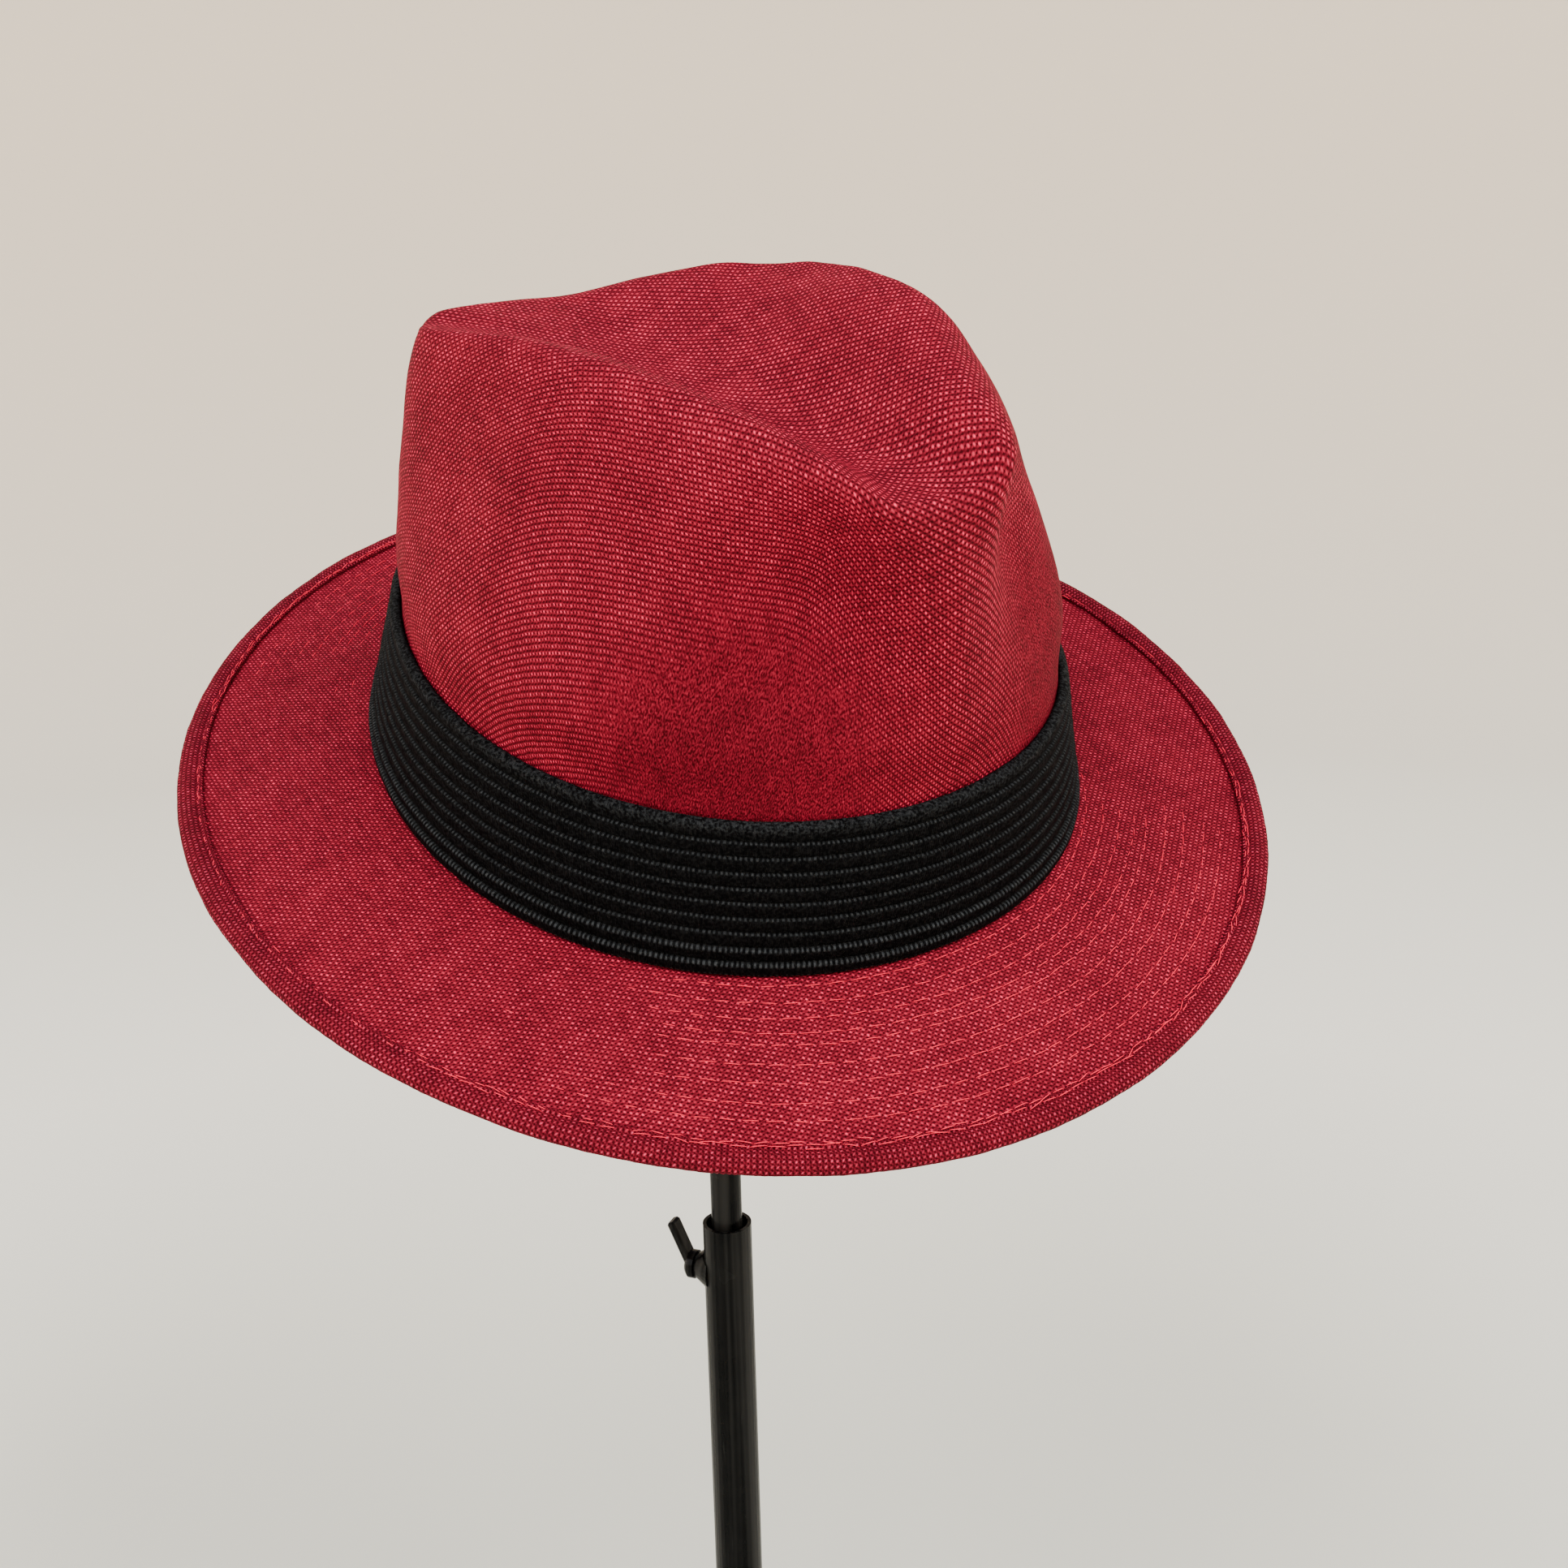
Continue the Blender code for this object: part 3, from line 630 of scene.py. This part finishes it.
def stitches(out, lift, pitch, shift, under=False, uneven=0.0002, shown=STITCH_SHARE, seed=1):
    """Corners and faces of one row of stitches, each a short bowed thread with both ends down."""
    chance = np.random.default_rng(seed)
    fine_turns = np.linspace(0, 2 * math.pi, 721)
    line = brim_points(fine_turns, out, lift)
    length = np.concatenate([[0.0], np.cumsum(np.linalg.norm(np.diff(line, axis=0), axis=-1))])
    count = round(length[-1] / pitch)
    share = np.linspace(-0.5, 0.5, THREAD_RINGS)[None, :]
    extent = shown * (1 + chance.normal(0, 0.09, (count, 1)))
    place = np.arange(count)[:, None] + shift + chance.normal(0, 0.05, (count, 1)) + share * extent
    turn = np.interp((place / count * length[-1]) % length[-1], length, fine_turns)
    skew = chance.normal(0, uneven, (count, 1)) + share * chance.normal(0, 2 * uneven, (count, 1))
    bow = np.sqrt(np.maximum(0.0, 1 - (2 * share)**2))
    side = -1.0 if under else 1.0
    sunk = SIDE_SINK * np.sin(turn)**2
    rise = side * (THREAD_RADIUS * (1.5 * bow - 1.0) - sunk)
    thickness = THREAD_RADIUS * (0.35 + 0.65 * bow)
    middle = brim_points(turn, out + skew, lift + rise)
    above = brim_points(turn, out + skew, lift + rise + 0.001) - middle
    above /= np.linalg.norm(above, axis=-1, keepdims=True)
    beside = brim_points(turn, out + skew + 0.001, lift + rise) - middle
    beside /= np.linalg.norm(beside, axis=-1, keepdims=True)
    angle = all_round(THREAD_SIDES)[None, None, :, None]
    ring = beside[:, :, None] * np.cos(angle) + above[:, :, None] * np.sin(angle)
    return middle[:, :, None] + ring * np.broadcast_to(thickness, turn.shape)[:, :, None, None]


def thread_mesh(name, rows):
    """One mesh of many short threads, each with closed ends."""
    points = np.concatenate(rows, 0)
    count = len(points)
    first = (np.arange(count) * THREAD_RINGS * THREAD_SIDES)[:, None, None]
    ring = (np.arange(THREAD_RINGS - 1) * THREAD_SIDES)[None, :, None]
    side = np.arange(THREAD_SIDES)[None, None, :]
    after = (side + 1) % THREAD_SIDES
    quads = np.stack([first + ring + side, first + ring + after,
                      first + ring + THREAD_SIDES + after, first + ring + THREAD_SIDES + side], -1)
    faces = quads.reshape(-1, 4).tolist()
    last = (THREAD_RINGS - 1) * THREAD_SIDES
    caps = np.concatenate([first[:, 0] + side[0][:, ::-1], first[:, 0] + last + side[0]], 0)
    faces += caps.tolist()
    mesh = bpy.data.meshes.new(name)
    mesh.from_pydata(points.reshape(-1, 3).tolist(), [], faces)
    mesh.shade_smooth()
    return mesh


def make_thread(name, colour, dark):
    """Slightly shiny twisted sewing thread."""
    material = bpy.data.materials.new(name)
    material.use_nodes = True
    tree = material.node_tree
    shader = tree.nodes["Principled BSDF"]
    place = add_node(tree, "TexCoord").outputs["Object"]
    twist = add_node(tree, "TexNoise", {"Vector": place, "Scale": 2500.0, "Detail": 2.0}).outputs[0]
    strands = spread(tree, twist, 0.35, 0.65)
    tree.links.new(tint(tree, strands, dark, colour), shader.inputs["Base Color"])
    tree.links.new(spread(tree, twist, 0.3, 0.7, 0.55, 0.38), shader.inputs["Roughness"])
    bump = add_node(tree, "Bump", {"Strength": 0.6, "Distance": 0.0001, "Height": twist})
    tree.links.new(bump.outputs[0], shader.inputs["Normal"])
    shader.inputs["Specular IOR Level"].default_value = 0.05
    return material


THREAD_RED = (0.88, 0.019, 0.066, 1.0)
THREAD_DARK = (0.62, 0.010, 0.040, 1.0)
red_thread = make_thread("red_sewing_thread", THREAD_RED, THREAD_DARK)
upper_rows = []
under_rows = []
for number, row in enumerate(STITCH_ROWS):
    start = (number * ROW_START) % 1.0
    upper_rows.append(stitches(row, ROW_LIFT - ROW_SINK, STITCH_PITCH, start, uneven=ROW_UNEVEN,
                               seed=number))
    under_rows.append(stitches(row, -BRIM_THICKNESS - UNDER_DROP, STITCH_PITCH, start + 0.5,
                               under=True, seed=number))
put_on_stand("brim_stitching", thread_mesh("brim_stitching", upper_rows), red_thread, "red_cloth")
put_on_stand("brim_stitching_under", thread_mesh("brim_stitching_under", under_rows), red_thread,
             "red_cloth")
hem_rows = [
    stitches(0.0413, 0.00142, 0.0034, 0.0, uneven=0.00022, shown=0.95, seed=31),
    stitches(0.0419, 0.00136, 0.0037, 0.4, uneven=0.00022, shown=0.95, seed=32),
    stitches(0.0450, -0.00195, 0.0036, 0.2, under=True, uneven=0.0002, seed=33),
]
put_on_stand("hem_stitching", thread_mesh("hem_stitching", hem_rows), red_thread, "red_cloth")

# Band: a strip of black ribbed ribbon with ten pleats pressed one over the other, wrapped round the
# crown's foot. Each pleat's fold faces up and catches the light, and the lowest two are fuller.
BAND_PLEATS = 10
BAND_AROUND = 480
PLEAT_DEPTH = 0.0009
FULLER_PLEATS = 2
FULLER = 1.35
BAND_SWAY = 0.00022          # how much the pleats wander up and down
DASH_PITCH = 0.00118         # of the ribs that show along each fold
# A pleat from its foot to its fold: share of its height, share of its depth
PLEAT = (
    (0.00, 0.00),
    (0.06, 0.30),
    (0.20, 0.52),
    (0.42, 0.74),
    (0.64, 0.92),
    (0.80, 1.00),
    (0.90, 0.93),
    (0.97, 0.55),
)


def band_outline():
    """Outset, height and pleat count of the band's section: up the ridges, then down the inside."""
    rise = (BAND_HEIGHT - GAP) / BAND_PLEATS
    outline = []
    for number in range(BAND_PLEATS):
        fuller = FULLER if number < FULLER_PLEATS else 1.0
        for share, stand_out in PLEAT:
            outset = GAP + BAND_THICKNESS - PLEAT_DEPTH * (1 - fuller * stand_out)
            outline.append((outset, GAP + rise * (number + share), number + share))
    outer = GAP + BAND_THICKNESS - PLEAT_DEPTH
    outline.append((outer, BAND_HEIGHT + 0.0002, BAND_PLEATS))
    outline.append(((outer + GAP) / 2, BAND_HEIGHT + 0.0004, BAND_PLEATS))
    outline.append((GAP, BAND_HEIGHT, BAND_PLEATS))
    outline.append((GAP, GAP, 0.0))
    return np.array(outline)


band_turns = all_round(BAND_AROUND)
band_outset, band_height, band_count = band_outline().T
foot_line = oval(band_turns, BAND_THICKNESS)
foot_steps = np.linalg.norm(np.roll(foot_line, -1, 0) - foot_line, axis=-1)
foot_reach = np.concatenate([[0.0], np.cumsum(foot_steps)])
sway = np.array([[noise.noise(Vector((x / 0.025, y / 0.025, count * 0.9))) for count in band_count]
                 for x, y in foot_line])
lean = CROWN_TAPER * (band_height - GAP) / (BAND_HEIGHT - GAP)
band_level = oval(band_turns[:, None], band_outset - lean)
outer_side = (band_outset > GAP)[None, :]
free_height = (band_height > 0.002) * (band_height < 0.034)
band_rise = band_height + BAND_SWAY * sway * outer_side * free_height
band_points = join(band_level[..., 0], band_level[..., 1], band_rise)
band_ribs = round(foot_reach[-1] / DASH_PITCH)
along = foot_reach / foot_reach[-1] * band_ribs
counts = np.append(band_count, band_count[0])
band_threads = join(along[:, None], counts[None, :])
band_mesh = sewn_round("pleated_band", band_points, band_threads, closed=True)
work_by_hand(band_mesh, swell=0.00012, span=0.012)


RIBBON_BLACK = (0.0008, 0.0009, 0.0011, 1.0)
RIBBON_FUZZ = (0.0060, 0.0062, 0.0066, 1.0)
# Grey of the rib dashes painted along the folds as highlight, and of the fuzz on the top edge
RIBBON_RIB_HIGHLIGHT_AND_FUZZ = (0.034, 0.037, 0.040, 1.0)


def make_ribbon():
    """Black ribbed ribbon whose ribs show as a row of grey dashes along each fold, painted in as a
    highlight.
    """
    material = bpy.data.materials.new("black_ribbed_ribbon")
    material.use_nodes = True
    tree = material.node_tree
    shader = tree.nodes["Principled BSDF"]
    chart = add_node(tree, "UVMap", uv_map="threads").outputs[0]
    split = add_node(tree, "SeparateXYZ", {0: chart})
    place = add_node(tree, "TexCoord").outputs["Object"]
    drift = add_node(tree, "TexNoise", {"Vector": place, "Scale": 260.0, "Detail": 2.0}).outputs[0]
    ribs_along = figure(tree, "ADD", split.outputs[0], figure(tree, "MULTIPLY", drift, 0.9))
    pleat = figure(tree, "FRACT", split.outputs[1])
    number = figure(tree, "FLOOR", split.outputs[1])
    shifted = figure(tree, "ADD", ribs_along, figure(tree, "MULTIPLY", number, 0.37))
    dash = figure(tree, "SINE", figure(tree, "MULTIPLY", shifted, 2 * math.pi))
    dash = spread(tree, dash, -0.35, 0.55)
    # Painted sheen: the highlight band along the fold is wider on the lowest two pleats.
    low_fold = spread(tree, split.outputs[1], 2.2, 1.6)
    fold_start = spread(tree, low_fold, 0.0, 1.0, 0.86, 0.70)
    fold_rise = figure(tree, "MULTIPLY", figure(tree, "SUBTRACT", pleat, fold_start), 9.0, clamp=True)
    fold = figure(tree, "MULTIPLY", fold_rise, spread(tree, pleat, 1.0, 0.95))
    fine = figure(tree, "SINE", figure(tree, "MULTIPLY", shifted, 6 * math.pi))
    fuzz = add_node(tree, "TexNoise", {"Vector": place, "Scale": 1500.0, "Detail": 2.0}).outputs[0]
    worn_and_highlight = spread(tree, fuzz, 0.3, 0.7, 0.4, 1.3)
    # The painted rib highlight runs along the lower edge too, and the fuzz of the cut edge hides it
    # along the top
    foot_edge = spread(tree, split.outputs[1], 0.22, 0.08)
    below_top = spread(tree, split.outputs[1], 9.0, 9.1, 1.0, 0.35)
    edges = figure(tree, "MAXIMUM", figure(tree, "MULTIPLY", fold, below_top), foot_edge)
    lit = figure(tree, "MULTIPLY", figure(tree, "MULTIPLY", edges, dash), worn_and_highlight, clamp=True)
    fuzzy_top = spread(tree, split.outputs[1], 9.3, 9.9, 0.0, 0.45)
    cut_edge = figure(tree, "MULTIPLY", fuzzy_top, spread(tree, fuzz, 0.42, 0.66))
    lit = figure(tree, "MAXIMUM", lit, cut_edge)
    ground = tint(tree, spread(tree, fuzz, 0.42, 0.68), RIBBON_BLACK, RIBBON_FUZZ)
    tree.links.new(tint(tree, lit, ground, RIBBON_RIB_HIGHLIGHT_AND_FUZZ), shader.inputs["Base Color"])
    tree.links.new(spread(tree, fuzz, 0.3, 0.7, 0.72, 0.55), shader.inputs["Roughness"])
    ridges = figure(tree, "ADD", figure(tree, "MULTIPLY", fine, 0.35),
                    figure(tree, "MULTIPLY", figure(tree, "MULTIPLY", fold, dash), 1.2))
    height = figure(tree, "ADD", ridges, figure(tree, "MULTIPLY", fuzz, 0.6))
    bump = add_node(tree, "Bump", {"Strength": 0.8, "Distance": 0.00018, "Height": height})
    tree.links.new(bump.outputs[0], shader.inputs["Normal"])
    shader.inputs["Specular IOR Level"].default_value = 0.025
    return material


black_ribbon = make_ribbon()
put_on_stand("pleated_band", band_mesh, black_ribbon, "black_ribbon", "hat_band")

# Stand: steel tubes, collar, thumb screw and round foot, and the moulded head in the crown, all in
# gloss black paint with fine dust and a few chips from handling. They keep the CAD's own shapes.
def make_wear_and_reflections():
    """Chips, fine scratches, lengthwise painted reflection streaks and dust as masks, from the place on
    the stand.
    """
    group, given, out = new_group(
        "paint_wear_and_reflections",
        (("Place", "Vector"), ("Chip scale", "Float")),
        (("Chips", "Float"), ("Scratches", "Float"), ("Streaks", "Float"), ("Dust", "Float")),
    )
    place = given.outputs["Place"]
    spots = add_node(group, "TexVoronoi", {"Vector": place, "Scale": given.outputs["Chip scale"]})
    ragged = add_node(group, "TexNoise", {"Vector": place, "Scale": 1500.0, "Detail": 3.0})
    edge = figure(group, "ADD", spots.outputs["Distance"],
                  figure(group, "MULTIPLY", ragged.outputs[0], 0.12))
    chosen = add_node(group, "SeparateXYZ", {0: spots.outputs["Color"]}).outputs[0]
    chips = figure(group, "MULTIPLY", spread(group, edge, 0.12, 0.09), spread(group, chosen, 0.90, 0.92))
    stretched = add_node(group, "VectorMath", {0: place, 1: (1400.0, 1400.0, 60.0)},
                         operation="MULTIPLY")
    lines = add_node(group, "TexNoise", {"Vector": stretched.outputs[0], "Scale": 1.0, "Detail": 2.0})
    scratches = spread(group, lines.outputs[0], 0.66, 0.74)
    # Painted reflection: lengthwise light streaks, as a glossy tube reflects the room.
    reflection_stretch = add_node(group, "VectorMath", {0: place, 1: (420.0, 420.0, 4.0)}, operation="MULTIPLY")
    reflection_bands = add_node(group, "TexNoise", {"Vector": reflection_stretch.outputs[0], "Scale": 1.0, "Detail": 1.0})
    cloudy = add_node(group, "TexNoise", {"Vector": place, "Scale": 90.0, "Detail": 3.0})
    group.links.new(chips, out.inputs["Chips"])
    group.links.new(scratches, out.inputs["Scratches"])
    group.links.new(spread(group, reflection_bands.outputs[0], 0.40, 0.66), out.inputs["Streaks"])
    group.links.new(spread(group, cloudy.outputs[0], 0.35, 0.75), out.inputs["Dust"])
    return group


paint_wear_and_reflections = make_wear_and_reflections()
BARE_STEEL = (0.16, 0.145, 0.125, 1.0)
CHIP_SCALE = 160.0
DUST_SHARE = 0.15
SCRATCH_SHARE = 0.5


def make_paint(name, ground, worn_and_highlight, roughness, dull, reflection_streaking):
    """Black paint with dust, scratches and chips from use, and lengthwise light streaks painted in as
    reflections.
    """
    material = bpy.data.materials.new(name)
    material.use_nodes = True
    tree = material.node_tree
    shader = tree.nodes["Principled BSDF"]
    place = add_node(tree, "TexCoord").outputs["Object"]
    wear_and_reflections = add_node(tree, "Group", node_tree=paint_wear_and_reflections)
    tree.links.new(place, wear_and_reflections.inputs["Place"])
    wear_and_reflections.inputs["Chip scale"].default_value = CHIP_SCALE
    dusty = tint(tree, figure(tree, "MULTIPLY", wear_and_reflections.outputs["Dust"], DUST_SHARE), ground, worn_and_highlight)
    # Painted reflection: the lengthwise streaks mix in the lighter colour.
    reflection_streaked = tint(tree, figure(tree, "MULTIPLY", wear_and_reflections.outputs["Streaks"], reflection_streaking), dusty, worn_and_highlight)
    scratches = figure(tree, "MULTIPLY", wear_and_reflections.outputs["Scratches"], SCRATCH_SHARE)
    scratched = tint(tree, scratches, reflection_streaked, worn_and_highlight)
    chipped = tint(tree, wear_and_reflections.outputs["Chips"], scratched, BARE_STEEL)
    tree.links.new(chipped, shader.inputs["Base Color"])
    rough = spread(tree, wear_and_reflections.outputs["Dust"], 0.0, 1.0, roughness, dull)
    tree.links.new(rough, shader.inputs["Roughness"])
    peel = add_node(tree, "TexNoise", {"Vector": place, "Scale": 420.0, "Detail": 2.0}).outputs[0]
    height = figure(tree, "SUBTRACT", peel, wear_and_reflections.outputs["Chips"])
    bump = add_node(tree, "Bump", {"Strength": 0.25, "Distance": 0.0001, "Height": height})
    tree.links.new(bump.outputs[0], shader.inputs["Normal"])
    shader.inputs["Specular IOR Level"].default_value = 0.045
    return material


tube_paint = make_paint("gloss_black_tube", (0.0010, 0.0011, 0.0011, 1.0), (0.019, 0.019, 0.018, 1.0),
                        roughness=0.18, dull=0.28, reflection_streaking=0.80)
foot_paint = make_paint("black_foot", (0.005, 0.005, 0.005, 1.0), (0.030, 0.029, 0.028, 1.0),
                        roughness=0.30, dull=0.45, reflection_streaking=0.0)
paint_of = {
    "stand_pole": tube_paint,
    "stand_sleeve": tube_paint,
    "screw_boss": tube_paint,
    "thumb_screw": tube_paint,
    "stand_head": foot_paint,
    "stand_base": foot_paint,
}
for node, paint in paint_of.items():
    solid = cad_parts[node]
    for slot in solid.material_slots:
        slot.material = paint

# Floor and backdrop: one pale plastered sweep all round, with a wide curve between floor and wall.
# Every view then has the same plain ground behind the hat.
FLOOR_SHADOW = (0.66, 0.67, 0.60, 1.0)
FLOOR_FAR = (0.90, 0.88, 0.79, 1.0)
WALL_COLOUR = (0.89, 0.78, 0.64, 1.0)
FLOOR_RADIUS = 1.5
SWEEP_RADIUS = 0.9
WALL_TOP = 1.6
sweep = [(0.0, 0.0), (0.3, 0.0), (0.8, 0.0), (FLOOR_RADIUS, 0.0)]
for step in range(1, 17):
    angle = math.radians(90.0) * step / 16
    sweep.append((FLOOR_RADIUS + SWEEP_RADIUS * math.sin(angle), SWEEP_RADIUS * (1 - math.cos(angle))))
sweep.append((FLOOR_RADIUS + SWEEP_RADIUS, WALL_TOP))
sweep = np.array(sweep)
stage_turns = all_round(96)[:, None]
stage_points = join(sweep[:, 0] * np.sin(stage_turns), sweep[:, 0] * np.cos(stage_turns), sweep[:, 1])
stage_chart = np.zeros((97, len(sweep), 2))
stage_mesh = sewn_round("pale_sweep", stage_points, stage_chart)
pale = bpy.data.materials.new("pale_plaster")
pale.use_nodes = True
plaster = pale.node_tree
pale_shader = plaster.nodes["Principled BSDF"]
spot = add_node(plaster, "TexCoord").outputs["Object"]
from_stand = add_node(plaster, "VectorMath", {0: spot}, operation="LENGTH").outputs["Value"]
# Painted shadow: the floor is darker near the stand, under the hat, and lighter further out.
floor_colour = tint(plaster, spread(plaster, from_stand, 0.15, 0.65), FLOOR_SHADOW, FLOOR_FAR)
wall_colour = tint(plaster, spread(plaster, from_stand, 1.4, 2.5), floor_colour, WALL_COLOUR)
plaster.links.new(wall_colour, pale_shader.inputs["Base Color"])
pale_shader.inputs["Roughness"].default_value = 0.95
stage_mesh.materials.append(pale)
stage = bpy.data.objects.new("pale_sweep", stage_mesh)
bpy.context.scene.collection.objects.link(stage)

# Light: two broad soft lights high in front, one on the left and one on the right, as from two
# windows, and a pale room all round.
hat_centre = Vector((0.0, 0.0, 0.34))


def soft_light(name, place, size, power, colour):
    lamp = bpy.data.lights.new(name, "AREA")
    lamp.shape = "DISK"
    lamp.size = size
    lamp.energy = power
    lamp.color = colour
    lit = bpy.data.objects.new(name, lamp)
    bpy.context.scene.collection.objects.link(lit)
    lit.location = place
    lit.rotation_mode = "QUATERNION"
    lit.rotation_quaternion = (hat_centre - Vector(place)).to_track_quat("-Z", "Y")
    lit.visible_camera = False


soft_light("window_left", (-1.38, -0.06, 1.63), 2.0, 62.0, (1.0, 0.99, 0.97))
soft_light("window_right", (0.60, -1.18, 1.66), 1.7, 56.0, (1.0, 0.99, 0.97))
world = bpy.data.worlds.new("pale_room")
bpy.context.scene.world = world
world.use_nodes = True
world.node_tree.nodes["Background"].inputs["Color"].default_value = (0.93, 0.94, 1.0, 1.0)
world.node_tree.nodes["Background"].inputs["Strength"].default_value = 0.45

# Camera: the photograph's own place and lens, solved from the outlines of the brim and the band.
# It looks a little down on the hat, from its front and its -X side.
lens = bpy.data.cameras.new("photo_view")
lens.lens = 37.267
lens.sensor_width = 36.0
lens.clip_start = 0.02
lens.clip_end = 30.0
camera = bpy.data.objects.new("photo_view", lens)
bpy.context.scene.collection.objects.link(camera)
right = Vector((0.7964, -0.6043, -0.0238))
up = Vector((0.1596, 0.1721, 0.9721))
forward = Vector((0.5834, 0.7779, -0.2334))
camera.matrix_world = Matrix.Translation((-0.2266, -0.3329, 0.4058)) @ Matrix(
    (right, up, -forward)).transposed().to_4x4()
bpy.context.scene.camera = camera
